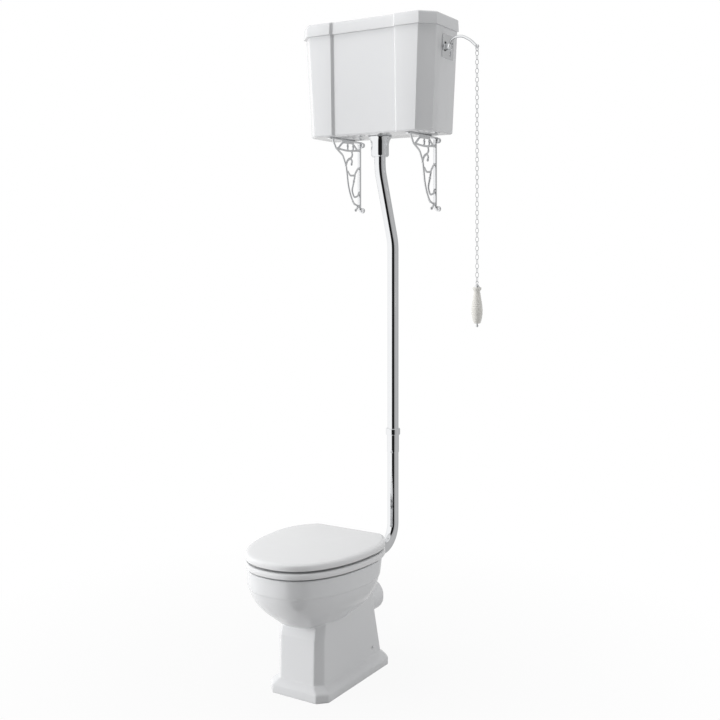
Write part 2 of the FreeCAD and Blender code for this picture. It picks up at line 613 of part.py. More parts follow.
node(joined(rod(2, ("chamberSide", "chamberBack", linkFoot), "leverEyeHeight + 5 - siphonTop - 28"),
            rod(2.5, ("chamberSide", "chamberBack - 10", "leverEyeHeight + 6.2"), 20, yAxis)), "lift_link")


# ---- flush lever, plate and pivot ----------------------------------------------------------------------

wallTilt = math.degrees(math.atan2(size("topHalf") - size("bottomHalf"), size("cisternTop") - size("cisternBottom")))
plateLow, plateHigh, plateStart, plateEnd = 1938, 2014, 277, 355


def makePlate():
    """A flat plate lying on the tapered side, with two cheeks for the lever and an oval hole."""
    plate = Part.makeBox(2.5, plateEnd - plateStart, plateHigh - plateLow)
    plate = plate.makeFillet(5, [edge for edge in plate.Edges if abs(edge.tangentAt(0).x) > 0.9])
    plate.rotate(point(0, 0, 0), yAxis, wallTilt)
    plate.translate(point(sideAt(plateLow), plateStart, plateLow))
    pivot = point(size("leverSide"), 0, size("leverHeight"))
    body = plate
    for y in (size("leverBack") - 10.5, size("leverBack") + 6):
        cheek = Part.makeBox(pivot.x - 249, 4.5, 18, point(249, y, pivot.z - 9))
        nose = Part.makeCylinder(9, 4.5, point(pivot.x, y, pivot.z), yAxis)
        body = body.multiFuse([cheek, nose])
    body = body.cut(Part.makeBox(40, 12, 30, point(234, size("leverBack") - 6, pivot.z - 12)))
    oval = Part.makeCylinder(5, 40, point(230, 332, 1952), xAxis).fuse(
        Part.makeCylinder(5, 40, point(230, 332, 1960), xAxis))
    body = body.cut(oval).cut(Part.makeCylinder(size("leverPin"), 60, point(pivot.x, 260, pivot.z), yAxis))
    body = body.cut(Part.makeBox(30, 90, 90, point(sideAt(plateLow) - 30, 270, plateLow - 5)))
    for y, z in screwPlaces:
        body = body.cut(Part.makeCylinder(2.6, 60, point(220, y, z), xAxis))
    return body.removeSplitter()


node(shaped(makePlate()), "lever_plate")


def leverScrew(y, z):
    x = sideAt(z) + 2.9
    return joined(rod(2.5, (x - 18, y, z), 19, xAxis), rod(4.6, (x, y, z), 2.2, xAxis),
                  hexagon(4.6, (x - 16.5, y, z), 3.5, xAxis))


node(group(*[leverScrew(y, z) for y, z in screwPlaces]), "lever_screws")
node(joined(rod("leverPin", ("leverSide", "leverBack - 12", "leverHeight"), 24, yAxis),
            rod(7.5, ("leverSide", "leverBack - 14.5", "leverHeight"), 4, yAxis),
            rod(5, ("leverSide", "leverBack + 10.5", "leverHeight"), 2.5, yAxis)), "lever_pivot_pin")


def makeLever():
    """Inside arm to the lift link, boss on the pivot, and the swan neck outside."""
    y = size("leverBack")
    pivot = point(size("leverSide"), y, size("leverHeight"))
    eye = point(size("chamberSide"), y, size("leverEyeHeight"))
    inner = Part.makeBox((pivot - eye).Length + 6, 8, 6, point(-6, -4, -3))
    inner.rotate(point(0, 0, 0), yAxis, -math.degrees(math.atan2(pivot.z - eye.z, pivot.x - eye.x)))
    inner.translate(eye)
    pad = Part.makeBox(31, 14, 6, point(eye.x - 15, y - 7, eye.z - 3))
    boss = Part.makeCylinder(8, 11, point(pivot.x, y - 5.5, pivot.z), yAxis)
    tip = point(size("ringSide"), y, size("eyeHeight"))
    path = bentPath([pivot, point(271, y, 1992), point(287, y, 2002), point(312, y, 2001), point(338, y, 1986), tip],
                    [12, 14, 40, 60])
    neck = sweep(path, 4.5)
    lug = Part.makeCylinder(6.5, 6, point(tip.x, y - 3, tip.z), yAxis)
    body = inner.multiFuse([pad, boss, neck, lug])
    body = body.cut(Part.makeCylinder(size("leverPin") + size("runningFit"), 20, point(pivot.x, y - 10, pivot.z),
                                      yAxis))
    body = body.cut(Part.makeBox(15, 6, 20, point(eye.x - 10, y - 3, eye.z - 10)))
    return body.cut(Part.makeCylinder(3, 20, point(tip.x, y - 10, tip.z), yAxis)).removeSplitter()


node(shaped(makeLever()), "flush_lever")
node(hoop("ringRadius", "ringWire", ("ringSide", "leverBack", "eyeHeight - ringRadius"), xAxis), "chain_ring")


# ---- chain and pull --------------------------------------------------------------------------------------

def linkShape(centre, across):
    """One oval link standing on end, its flat side square to `across`."""
    half = size("linkHalf")
    side = size("linkLength") / 2 - half
    wide = across.cross(zAxis)
    corners = [centre + wide * half + zAxis * side, centre - wide * half + zAxis * side,
               centre - wide * half - zAxis * side, centre + wide * half - zAxis * side]
    path = Part.Wire([Part.Arc(corners[0], centre + zAxis * (side + half), corners[1]).toShape(),
                      Part.LineSegment(corners[1], corners[2]).toShape(),
                      Part.Arc(corners[2], centre - zAxis * (side + half), corners[3]).toShape(),
                      Part.LineSegment(corners[3], corners[0]).toShape()])
    ring = Part.Wire([Part.makeCircle(size("linkWire"), corners[0], zAxis)])
    return path.makePipeShell([ring], True, False)


chainTop = size("eyeHeight") - 2 * size("ringRadius") + size("ringWire") + size("linkWire") + size("runningFit")
linkCentre = chainTop - size("linkLength") / 2
links = []
for number in range(int(size("linkCount"))):
    facing = yAxis if number % 2 == 0 else xAxis
    centre = point(size("ringSide"), size("leverBack"), linkCentre - number * size("linkPitch"))
    links.append(linkShape(centre, facing))
node(shaped(Part.makeCompound(links)), "pull_chain")

chainEnd = chainTop - size("linkLength") - (size("linkCount") - 1) * size("linkPitch")
eyeTop = chainEnd + size("linkWire") + 1.2 + size("runningFit")
node(joined(hoop(4, 1.2, ("ringSide", "leverBack", eyeTop - 4), yAxis),
            rod(9, ("ringSide", "leverBack", "handleTop"), eyeTop - 8 - size("handleTop"), topRadius=3)),
     "handle_ferrule")


def handleCorners():
    """Half outline of the ceramic pull: a crown, a neck and a ribbed swelling body."""
    length = size("handleLength")
    corners = [(0, 0), (11, 0), (14, -2), (14, -5), (9.5, -14)]
    ribs = 17
    for rib in range(ribs):
        drop = 18 + (length - 24) * rib / ribs
        share = (drop - 18) / (length - 24)
        swell = 10.5 + 7 * math.sin(math.pi * share ** 1.35) + 0.5 * share
        corners += [(round(swell, 2), -round(drop, 2)), (round(swell - 0.8, 2), -round(drop + 4, 2))]
    return corners + [(7, -length + 2), (0, -length + 2)]


node(turned(handleCorners(), ("ringSide", "leverBack", "handleTop")), "pull_handle")
node(joined(rod(3, ("ringSide", "leverBack", "handleTop - handleLength - 4"), 6),
            ball(4.5, ("ringSide", "leverBack", "handleTop - handleLength - 6"))), "handle_tip")


# ---- float valve ---------------------------------------------------------------------------------------

valveOuter = joined(
    rod("valveTail", ("tailEnd", "valveBack", "valveHeight"), "tailStart - tailEnd", xAxis),
    rod("valveShank", ("tailStart", "valveBack", "valveHeight"), "-216 - tailStart", xAxis),
    rod(16, (-236.5, "valveBack", "valveHeight"), 5, xAxis),
    rod(12, (-236.5, "valveBack", "valveHeight"), 46, xAxis),
    box(("armSide - 8", "valveBack - 8", "armHeight - 6"), ("armSide + 8", "valveBack + 8", "valveHeight - 4")))
valveInner = joined(
    rod(5, (-293, "valveBack", "valveHeight"), 76, xAxis),
    rod("6 + runningFit", (-228, "valveBack", "valveHeight"), 60, xAxis),
    box(("armSide - 11", "valveBack - 4", "armHeight - 7"), ("armSide + 20", "valveBack + 4", "valveHeight - 2")),
    rod(1.5, ("armSide", "valveBack - 10", "armHeight"), 20, yAxis))
node(minus(valveOuter, valveInner), "float_valve_body")
node(minus(hexagon(16, (-256.4, "valveBack", "valveHeight"), 6, xAxis),
           rod("valveShank", (-258, "valveBack", "valveHeight"), 9, xAxis)), "valve_backnut")
node(minus(rod(15, (-250.4, "valveBack", "valveHeight"), 2.5, xAxis),
           rod("valveShank", (-252, "valveBack", "valveHeight"), 6, xAxis)), "valve_washer")
node(minus(rod(6, (-221, "valveBack", "valveHeight"), 27, xAxis),
           box(("armSide - 5", "valveBack - 3.5", "valveHeight - 7"), ("armSide + 5", "valveBack + 3.5", "valveHeight"))),
     "valve_piston")
node(rod(1.5, ("armSide", "valveBack - 9.5", "armHeight"), 19, yAxis), "arm_pivot_pin")
armDirection = point(math.cos(math.radians(size("armDrop"))), 0, -math.sin(math.radians(size("armDrop"))))
armStart = ("armSide", "valveBack", "armHeight")
ballCentre = ("armSide + armReach * cos(armDrop)", "valveBack", "armHeight - armReach * sin(armDrop)")
socketStart = ("armSide + (armReach - ballRadius - 4) * cos(armDrop)", "valveBack",
               "armHeight - (armReach - ballRadius - 4) * sin(armDrop)")
armSolid = joined(rod("armRadius", armStart, "armReach - ballRadius + ballSocket", armDirection),
                  rod(5.5, ("armSide", "valveBack - 3.6", "armHeight"), 7.2, yAxis),
                  box(("armSide - 2", "valveBack - 3", "armHeight"), ("armSide + 2", "valveBack + 3", "valveHeight - 1")))
node(minus(armSolid, rod("1.5 + runningFit", ("armSide", "valveBack - 10", "armHeight"), 20, yAxis)), "float_arm")
node(minus(ball("ballRadius", ballCentre),
           rod("armRadius + runningFit", socketStart, "4 + ballSocket", armDirection)), "float_ball")


# ---- brackets -------------------------------------------------------------------------------------------

def scrollStrokes():
    """Strokes of the casting, as (distance from the wall, depth below the top) with a radius per bend."""
    return [
        ([(174, 5), (154, 33), (112, 54), (90, 90), (80, 141), (70, 190), (40, 218), (4, 226)],
         [9, 30, 60, 150, 150, 50, 30]),
        ([(152, 33), (80, 37), (4, 30)], [300]),
        ([(140, 32), (112, 10), (50, 8), (20, 29)], [30, 24]),
        ([(55, 36), (50, 53), (84, 72), (94, 92)], [9, 22]),
        ([(84, 72), (68, 60), (51, 68), (57, 82)], [12, 8]),
        ([(82, 106), (66, 121), (38, 119), (16, 94), (4, 92)], [16, 18, 12]),
        ([(34, 118), (42, 142), (54, 172), (40, 196), (16, 190), (8, 176)], [60, 16, 12, 10]),
        ([(12, 226), (30, 240)], []),
        ([(81, 14), (81, 35)], []),
        ([(46, 12), (46, 34)], []),
    ]


def makeBracket():
    """One wall bracket with its leg in the plane x = 0."""
    wall, top = size("wallPlane"), size("cisternBottom")
    flange = Part.makeBox(20, size("bracketReach"), 6, point(-10, wall - size("bracketReach"), top - 6))
    flange = flange.makeFillet(8, [edge for edge in flange.Edges
                                   if abs(edge.tangentAt(0).z) > 0.9 and edge.CenterOfMass.y < wall - 10])
    leg = Part.makeBox(11, 9, size("bracketDrop") - 10, point(-5.5, wall - 9, top - size("bracketDrop") + 5))
    body = flange.fuse(leg)
    for points, radii in scrollStrokes():
        places = [point(0, wall - away, top - below) for away, below in points]
        body = body.fuse(sweep(bentPath(places, radii), size("scrollRadius")))
    for away, below, radius in ((30, 240, 5.5), (57, 82, 4.6), (81, 22, 4.6), (46, 21, 4.6), (42, 140, 5)):
        body = body.fuse(Part.makeSphere(radius, point(0, wall - away, top - below)))
    for height in (size("lugTop"), size("lugBottom")):
        lug = Part.makeCylinder(9.5, 7, point(size("lugShift"), wall - 7, height), yAxis)
        arm = Part.makeBox(size("lugShift"), 7, 9, point(0, wall - 7, height - 4.5))
        body = body.multiFuse([lug, arm])
        body = body.cut(Part.makeCylinder(size("lugHole"), 30, point(size("lugShift"), wall - 20, height), yAxis))
    body = body.cut(Part.makeBox(60, 30, 300, point(-30, wall, top - 290)))
    return body.cut(Part.makeBox(60, 300, 30, point(-30, wall - 250, top))).removeSplitter()


bracketShape = makeBracket()
for side, label in ((-1, "bracket_left"), (1, "bracket_right")):
    bracket = node(shaped(bracketShape), label)
    bracket.Placement = FreeCAD.Placement(point(side * size("bracketSide"), 0, 0), FreeCAD.Rotation())


# ---- checks and files -----------------------------------------------------------------------------------

doc.recompute()
for item in doc.Objects:
    if "Invalid" in item.State or "Error" in item.State:
        raise RuntimeError("%s (%s) failed" % (item.Label, item.Name))
for item in nodes:
    if item.Shape.isNull() or not item.Shape.isValid():
        raise RuntimeError("%s has no valid shape" % item.Label)

os.makedirs("parts", exist_ok=True)
for item in nodes:
    item.Shape.exportStep("parts/%s.step" % item.Label)
    extent = item.Shape.BoundBox
    print("%-22s solids %3d  volume %10.0f  z %7.1f to %7.1f" % (item.Label, len(item.Shape.Solids),
                                                              item.Shape.Volume, extent.ZMin, extent.ZMax))
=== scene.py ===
import json
import math
import bmesh
import bpy
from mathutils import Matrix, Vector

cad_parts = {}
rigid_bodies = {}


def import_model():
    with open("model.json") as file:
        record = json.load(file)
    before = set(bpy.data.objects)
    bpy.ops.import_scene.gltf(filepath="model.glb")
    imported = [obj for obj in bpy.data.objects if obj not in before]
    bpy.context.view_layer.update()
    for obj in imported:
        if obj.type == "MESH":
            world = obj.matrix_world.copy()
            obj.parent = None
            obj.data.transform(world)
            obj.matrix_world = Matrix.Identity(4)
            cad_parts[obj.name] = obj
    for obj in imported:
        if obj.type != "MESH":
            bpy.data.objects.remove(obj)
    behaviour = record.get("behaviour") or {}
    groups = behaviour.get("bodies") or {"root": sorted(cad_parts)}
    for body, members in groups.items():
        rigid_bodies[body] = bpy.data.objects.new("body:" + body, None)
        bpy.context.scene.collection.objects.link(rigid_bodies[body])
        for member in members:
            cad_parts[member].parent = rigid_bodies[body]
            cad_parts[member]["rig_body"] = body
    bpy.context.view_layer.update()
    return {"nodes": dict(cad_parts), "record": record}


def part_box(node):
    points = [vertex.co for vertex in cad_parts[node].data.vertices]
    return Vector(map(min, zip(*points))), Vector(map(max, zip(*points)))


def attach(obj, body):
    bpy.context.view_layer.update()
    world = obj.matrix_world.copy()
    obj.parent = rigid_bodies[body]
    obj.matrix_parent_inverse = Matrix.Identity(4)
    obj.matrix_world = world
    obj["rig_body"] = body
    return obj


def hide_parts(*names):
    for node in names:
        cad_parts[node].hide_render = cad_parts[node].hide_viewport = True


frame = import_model()
nodes = frame["nodes"]
scene = bpy.context.scene
print("frame loaded:", len(nodes), "nodes")


# shader and geometry graphs

class Value:  # a socket that does sums like a number
    def __init__(self, graph, socket):
        self.graph = graph
        self.socket = socket

    def by(self, operation, *others):
        return self.graph.calc(operation, self, *others)

    def __add__(self, other):
        return self.graph.calc("ADD", self, other)

    def __radd__(self, other):
        return self.graph.calc("ADD", other, self)

    def __sub__(self, other):
        return self.graph.calc("SUBTRACT", self, other)

    def __rsub__(self, other):
        return self.graph.calc("SUBTRACT", other, self)

    def __mul__(self, other):
        return self.graph.calc("MULTIPLY", self, other)

    def __rmul__(self, other):
        return self.graph.calc("MULTIPLY", other, self)

    def __pow__(self, other):
        return self.graph.calc("POWER", self, other)


class Graph:  # adds nodes to a tree
    def __init__(self, tree):
        self.tree = tree
        self.tree.nodes.clear()

    def calc(self, operation, *terms):
        return self.value("ShaderNodeMath", {"operation": operation}, dict(enumerate(terms)))

    def put(self, kind, settings=None, sockets=None):
        made = self.tree.nodes.new(kind)
        for name, value in (settings or {}).items():
            if name == "stops":
                for index, (place, shade) in enumerate(value):
                    spot = made.color_ramp.elements[index] if index < 2 else made.color_ramp.elements.new(place)
                    spot.position = place
                    spot.color = (shade, shade, shade, 1)
            else:
                setattr(made, name, value)
        for name, value in (sockets or {}).items():
            if isinstance(value, Value):
                self.tree.links.new(value.socket, made.inputs[name])
            elif isinstance(value, bpy.types.NodeSocket):
                self.tree.links.new(value, made.inputs[name])
            else:
                made.inputs[name].default_value = value
        return made

    def value(self, kind, settings=None, sockets=None, output=0):
        return Value(self, self.put(kind, settings, sockets).outputs[output])

    def noise(self, where, size, detail=3.0):  # smooth noise whose blobs are about size metres across
        return self.value("ShaderNodeTexNoise", {"noise_dimensions": "3D"},
                          {"Vector": where, "Scale": 1.0 / size, "Detail": detail, "Roughness": 0.55})

    def tone(self, factor, dark, light):  # a colour between two
        return self.put("ShaderNodeMix", {"data_type": "RGBA"},
                        {0: factor, 6: (*dark, 1), 7: (*light, 1)}).outputs[2]


materials = {}


def newMaterial(name):
    made = bpy.data.materials.new(name)
    made.use_nodes = True
    materials[name] = made
    return Graph(made.node_tree)


def finishMaterial(graph, sockets, ground=None):
    surface = graph.put("ShaderNodeBsdfPrincipled", None, sockets)
    graph.put("ShaderNodeOutputMaterial", None, {"Surface": surface.outputs[0]})
    return surface


def objectPlace(graph):
    return graph.put("ShaderNodeTexCoord").outputs["Object"]


chinaLook = {"white": (0.80, 0.805, 0.815), "shade": (0.775, 0.785, 0.80), "gloss": 0.07, "wave": 0.00035,
             "peel": 0.00003}


def glazedChina(name, look):
    g = newMaterial(name)
    place = objectPlace(g)
    wave = g.noise(place, 0.09, 1.0)  # the glaze pools and thins over a hand's breadth
    peel = g.noise(place, 0.0035, 2.0)
    speck = g.noise(place, 0.0014, 0.0)
    pool = g.noise(place, 0.22, 2.0)
    height = wave * (look["wave"] / look["peel"]) + peel
    bump = g.put("ShaderNodeBump", None, {"Strength": 0.35, "Distance": look["peel"], "Height": height})
    finishMaterial(g, {
        "Base Color": g.tone(pool, look["shade"], look["white"]),
        "Roughness": look["gloss"] + peel * 0.03 + speck * 0.015,
        "Coat Weight": 0.35, "Coat Roughness": 0.03, "IOR": 1.52,
        "Normal": bump.outputs[0]})


glazedChina("whiteChina", chinaLook)
glazedChina("pullChina", {**chinaLook, "white": (0.83, 0.82, 0.79), "shade": (0.78, 0.765, 0.72), "wave": 0.0001})

lacquerLook = {"white": (0.84, 0.845, 0.85), "shade": (0.81, 0.815, 0.825), "gloss": 0.16}


def lacqueredSeat(name, look):
    g = newMaterial(name)
    place = objectPlace(g)
    peel = g.noise(place, 0.0045, 2.0)
    cloud = g.noise(place, 0.15, 2.0)
    bump = g.put("ShaderNodeBump", None, {"Strength": 0.2, "Distance": 0.00004, "Height": peel})
    finishMaterial(g, {
        "Base Color": g.tone(cloud, look["shade"], look["white"]),
        "Roughness": look["gloss"] + peel * 0.05,
        "Coat Weight": 0.2, "Coat Roughness": 0.08, "Normal": bump.outputs[0]})


lacqueredSeat("whiteSeat", lacquerLook)


def plated(name, colour, dull, gloss, grain, blotch=0.05):
    g = newMaterial(name)
    place = objectPlace(g)
    fine = g.noise(place, grain, 2.0)
    smear = g.noise(place, blotch, 3.0)  # faint smears from wiping
    bump = g.put("ShaderNodeBump", None, {"Strength": 0.15, "Distance": 0.00002, "Height": fine})
    finishMaterial(g, {
        "Base Color": g.tone(smear, dull, colour), "Metallic": 1.0,
        "Roughness": gloss + smear * 0.04 + fine * 0.02, "Normal": bump.outputs[0]})


plated("chrome", (0.86, 0.87, 0.88), (0.82, 0.83, 0.845), 0.03, 0.002)
plated("bracketPlate", (0.87, 0.875, 0.885), (0.80, 0.81, 0.825), 0.13, 0.0016)
plated("steel", (0.62, 0.62, 0.61), (0.5, 0.5, 0.49), 0.28, 0.0012)
plated("brass", (0.78, 0.58, 0.28), (0.62, 0.44, 0.2), 0.24, 0.0015)


def moulded(name, colour, shade, gloss, grain, depth, **extra):
    g = newMaterial(name)
    place = objectPlace(g)
    fine = g.noise(place, grain, 3.0)
    cloud = g.noise(place, 0.06, 2.0)
    bump = g.put("ShaderNodeBump", None, {"Strength": 0.4, "Distance": depth, "Height": fine})
    finishMaterial(g, {
        "Base Color": g.tone(cloud, shade, colour), "Roughness": gloss + fine * 0.12, "Normal": bump.outputs[0],
        **extra})


moulded("whitePlastic", (0.78, 0.78, 0.76), (0.72, 0.72, 0.7), 0.32, 0.0012, 0.00005)
moulded("blackRubber", (0.03, 0.03, 0.031), (0.018, 0.018, 0.019), 0.55, 0.0009, 0.0001)
moulded("whiteRubber", (0.74, 0.74, 0.72), (0.66, 0.66, 0.63), 0.5, 0.0009, 0.00008)
moulded("clearBuffer", (0.72, 0.75, 0.76), (0.62, 0.66, 0.68), 0.22, 0.001, 0.00004)
materialOf = {"white_china": "whiteChina", "pull_china": "pullChina", "white_seat": "whiteSeat", "chrome": "chrome",
              "bracket_plate": "bracketPlate", "steel": "steel", "white_plastic": "whitePlastic",
              "black_rubber": "blackRubber", "white_rubber": "whiteRubber", "clear_buffer": "clearBuffer",
              "brass": "brass"}
print("materials ready:", len(materials))


# meshes

slotOf = {entry["node"]: entry["material_slot"] for entry in frame["record"]["subparts"]}


def finishPiece(obj, body, slotName, replaced=()):
    obj.data.materials.clear()
    obj.data.materials.append(materials[materialOf[slotName]])
    for face in obj.data.polygons:
        face.material_index = 0
    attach(obj, body)
    if replaced:
        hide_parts(*replaced)
    return obj


def newObject(name, mesh):
    obj = bpy.data.objects.new(name, mesh)
    scene.collection.objects.link(obj)
    return obj


def flatten(obj, name):  # the modifiers become part of a plain mesh
    graph = bpy.context.evaluated_depsgraph_get()
    mesh = bpy.data.meshes.new_from_object(obj.evaluated_get(graph), depsgraph=graph)
    mesh.name = name
    obj.modifiers.clear()
    obj.data = mesh
    return obj


def smoothShade(mesh, angle=180):
    for face in mesh.polygons:
        face.use_smooth = True
    if angle < 180:
        mesh.set_sharp_from_angle(angle=math.radians(angle))


def meshFrom(name, points, faces):
    mesh = bpy.data.meshes.new(name)
    mesh.from_pydata(points, [], faces)
    work = bmesh.new()
    work.from_mesh(mesh)
    bmesh.ops.remove_doubles(work, verts=work.verts, dist=1e-6)
    bmesh.ops.recalc_face_normals(work, faces=work.faces)
    work.to_mesh(mesh)
    work.free()
    return mesh


def loft(rows):  # rings of equal length joined in order, the ends closed by a fan
    count = len(rows[0])
    points = [p for row in rows for p in row]
    faces = []
    for level in range(len(rows) - 1):
        for step in range(count):
            a, b = level * count + step, level * count + (step + 1) % count
            faces.append((a, b, b + count, a + count))
    for start, row in ((0, rows[0]), ((len(rows) - 1) * count, rows[-1])):
        middle = tuple(sum(p[k] for p in row) / count for k in range(3))
        points.append(middle)
        for step in range(count):
            faces.append((start + step, start + (step + 1) % count, len(points) - 1))
    return points, faces


def cadCopy(name, source):  # a merged copy of a CAD mesh
    work = bmesh.new()
    work.from_mesh(nodes[source].data)
    bmesh.ops.remove_doubles(work, verts=work.verts, dist=2e-6)
    mesh = bpy.data.meshes.new(name)
    work.to_mesh(mesh)
    work.free()
    return newObject(name, mesh)


def castCopy(name, source, voxel, rounds, keep=1.0):  # every edge softened, as on a casting or a glazed body
    obj = cadCopy(name, source)
    remesh = obj.modifiers.new("remesh", "REMESH")
    remesh.mode = "VOXEL"
    remesh.voxel_size = voxel
    remesh.use_smooth_shade = True
    soften = obj.modifiers.new("soften", "SMOOTH")
    soften.factor = 0.5
    soften.iterations = rounds
    if keep < 1:
        thin = obj.modifiers.new("thin", "DECIMATE")  # flat stretches lose faces first
        thin.ratio = keep
    flatten(obj, name)
    return obj


def bevelCopy(name, source, width, segments=2, angle=30):  # crisp part with small rounded edges
    obj = cadCopy(name, source)
    work = bmesh.new()
    work.from_mesh(obj.data)
    bmesh.ops.dissolve_limit(work, angle_limit=math.radians(0.6), verts=work.verts, edges=work.edges)
    work.to_mesh(obj.data)
    work.free()
    bevel = obj.modifiers.new("bevel", "BEVEL")
    bevel.width = width
    bevel.segments = segments
    bevel.limit_method = "ANGLE"
    bevel.angle_limit = math.radians(angle)
    bevel.use_clamp_overlap = True
    flatten(obj, name)
    smoothShade(obj.data, 40)
    return obj


# pan

panLook = {"voxel": 0.0030, "rounds": 4, "keep": 0.58}
pan = castCopy("pan", "pan_body", panLook["voxel"], panLook["rounds"], panLook["keep"])
smoothShade(pan.data)
finishPiece(pan, "fixture", "white_china", ["pan_body"])
print("pan:", len(pan.data.polygons), "faces")


# seat and lid

lidLook = {"half": 0.185, "front": -0.322, "back": 0.160, "cut": 0.118, "centre": -0.085, "widest": 0.62,
           "fullness": 2.3, "crown": 0.0068, "crownRings": 15, "count": 240}


def ovalOutline(look, inset):  # fuller than an ellipse in front, an ellipse behind, cut straight at the back
    half, front, back = look["half"] - inset, look["front"] + inset, look["back"] - inset
    widest = look["front"] + look["widest"] * (look["back"] - look["front"])
    points = []
    for step in range(look["count"]):
        angle = 2 * math.pi * step / look["count"]
        across, along = math.cos(angle), math.sin(angle)
        power = 2 / look["fullness"] if along < 0 else 1.0
        reach = widest - front if along < 0 else back - widest
        x = half * math.copysign(abs(across) ** power, across)
        y = widest + reach * math.copysign(abs(along) ** power, along)
        points.append((x, min(y, look["cut"] - inset)))
    for turn in range(3):  # eases the two corners beside the cut
        points = [tuple(0.25 * a + 0.5 * b + 0.25 * c for a, b, c in zip(points[k - 1], points[k],
                                                                      points[(k + 1) % len(points)]))
                  for k in range(len(points))]
    return points


def slabRows(look, profile):  # (inset, shrink, height) for each ring
    rows = []
    centre = look["centre"]
    for inset, shrink, height in profile:
        outline = ovalOutline(look, inset)
        rows.append([(x * shrink, centre + (y - centre) * shrink, height) for x, y in outline])
    return rows


lidLow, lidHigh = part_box("seat_lid")[0].z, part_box("seat_lid")[1].z
lidRim = lidHigh - 0.0095
lidProfile = [(0.014, 0.02, lidLow + 0.0024), (0.014, 0.5, lidLow + 0.0024), (0.014, 0.9, lidLow + 0.0024),
              (0.016, 1.0, lidLow + 0.0020), (0.012, 1.0, lidLow + 0.0003), (0.008, 1.0, lidLow),
              (0.0045, 1.0, lidLow + 0.0003), (0.0018, 1.0, lidLow + 0.0016), (0.0005, 1.0, lidLow + 0.0036),
              (0.0, 1.0, lidLow + 0.006), (0.0, 1.0, lidRim - 0.0065), (0.0006, 1.0, lidRim - 0.0036),
              (0.0022, 1.0, lidRim - 0.0012), (0.0050, 1.0, lidRim + 0.0006), (0.0090, 1.0, lidRim + 0.0017),
              (0.0140, 1.0, lidRim + 0.0025)]
for ring in range(1, lidLook["crownRings"] + 1):
    shrink = 1 - ring / (lidLook["crownRings"] + 0.4)
    lidProfile.append((0.0140, shrink, lidRim + 0.0025 + lidLook["crown"] * (1 - shrink ** 2)))
lid = newObject("seatLid", meshFrom("seatLid", *loft(slabRows(lidLook, lidProfile))))
smoothShade(lid.data, 50)
finishPiece(lid, "lid", "white_seat", ["seat_lid"])
seatLook = {"voxel": 0.0020, "rounds": 4}
seat = castCopy("seatRing", "seat_ring", seatLook["voxel"], seatLook["rounds"])
smoothShade(seat.data)
finishPiece(seat, "seat", "white_seat", ["seat_ring"])
print("seat ready")


# cistern

cisternLook = {"bevel": 0.0055, "segments": 4, "angle": 18}
for name, source, body in (("cistern", "cistern_body", "fixture"), ("cisternLid", "cistern_lid", "cistern_cover")):
    piece = bevelCopy(name, source, cisternLook["bevel"], cisternLook["segments"], cisternLook["angle"])
    finishPiece(piece, body, "white_china", [source])
print("cistern ready")


# pipes, chain and handle come from geometry nodes

class GeometryGraph(Graph):
    def __init__(self, name, inputs):
        tree = bpy.data.node_groups.new(name, "GeometryNodeTree")
        tree.interface.new_socket("Geometry", in_out="INPUT", socket_type="NodeSocketGeometry")
        tree.interface.new_socket("Geometry", in_out="OUTPUT", socket_type="NodeSocketGeometry")
        for label, (kind, value) in inputs.items():
            socket = tree.interface.new_socket(label, in_out="INPUT", socket_type="NodeSocket" + kind)
            socket.default_value = value
        super().__init__(tree)
        self.inlet = self.put("NodeGroupInput")

    def given(self, label):
        return Value(self, self.inlet.outputs[label])

    def close(self, geometry, material):
        real = self.put("GeometryNodeRealizeInstances", None, {"Geometry": geometry})
        shade = self.put("GeometryNodeSetShadeSmooth", None, {"Geometry": real.outputs[0]})
        paint = self.put("GeometryNodeSetMaterial", None, {"Geometry": shade.outputs[0], "Material": material})
        self.put("NodeGroupOutput", None, {0: paint.outputs[0]})
        return self.tree


def growPiece(name, tree, given, points=((0, 0, 0),), edges=()):
    mesh = bpy.data.meshes.new(name)
    mesh.from_pydata(points, edges, [])
    obj = newObject(name, mesh)
    modifier = obj.modifiers.new("grow", "NODES")
    modifier.node_group = tree
    for item in tree.interface.items_tree:
        if item.item_type == "SOCKET" and item.in_out == "INPUT" and item.name in given:
            modifier[item.identifier] = given[item.name]
    return flatten(obj, name)


def pipeTree():
    g = GeometryGraph("bentPipe", {"Radius": ("Float", 0.019), "Bend": ("Float", 0.15), "Sides": ("Int", 64),
                                   "Bend Steps": ("Int", 24)})
    line = g.put("GeometryNodeMeshToCurve", None, {"Mesh": g.inlet.outputs[0]})
    bent = g.put("GeometryNodeFilletCurve", {"mode": "POLY"},
                 {"Curve": line.outputs[0], "Count": g.given("Bend Steps"), "Radius": g.given("Bend"),
                  "Limit Radius": True})
    ring = g.put("GeometryNodeCurvePrimitiveCircle", None, {"Resolution": g.given("Sides"),
                                                           "Radius": g.given("Radius")})
    tube = g.put("GeometryNodeCurveToMesh", None, {"Curve": bent.outputs[0], "Profile Curve": ring.outputs[0],
                                                  "Fill Caps": True})
    return g.close(tube.outputs[0], materials["chrome"])


pipes = pipeTree()
pipeRadius, pipeBack = 0.019, 0.3905
pipeLook = {
    "upperPipe": {"route": [(0, 0.304, 1.686), (0, 0.304, 1.590), (0, pipeBack, 1.346), (0, pipeBack, 0.640)],
                  "bend": 0.15, "node": "flush_pipe_upper"},
    "lowerPipe": {"route": [(0, pipeBack, 0.636), (0, pipeBack, 0.318), (0, 0.232, 0.318)],
                  "bend": 0.075, "node": "flush_pipe_lower"},
}


def joinMeshes(obj, other):  # the other mesh becomes part of obj
    work = bmesh.new()
    work.from_mesh(obj.data)
    work.from_mesh(other.data)
    work.to_mesh(obj.data)
    work.free()
    bpy.data.objects.remove(other)


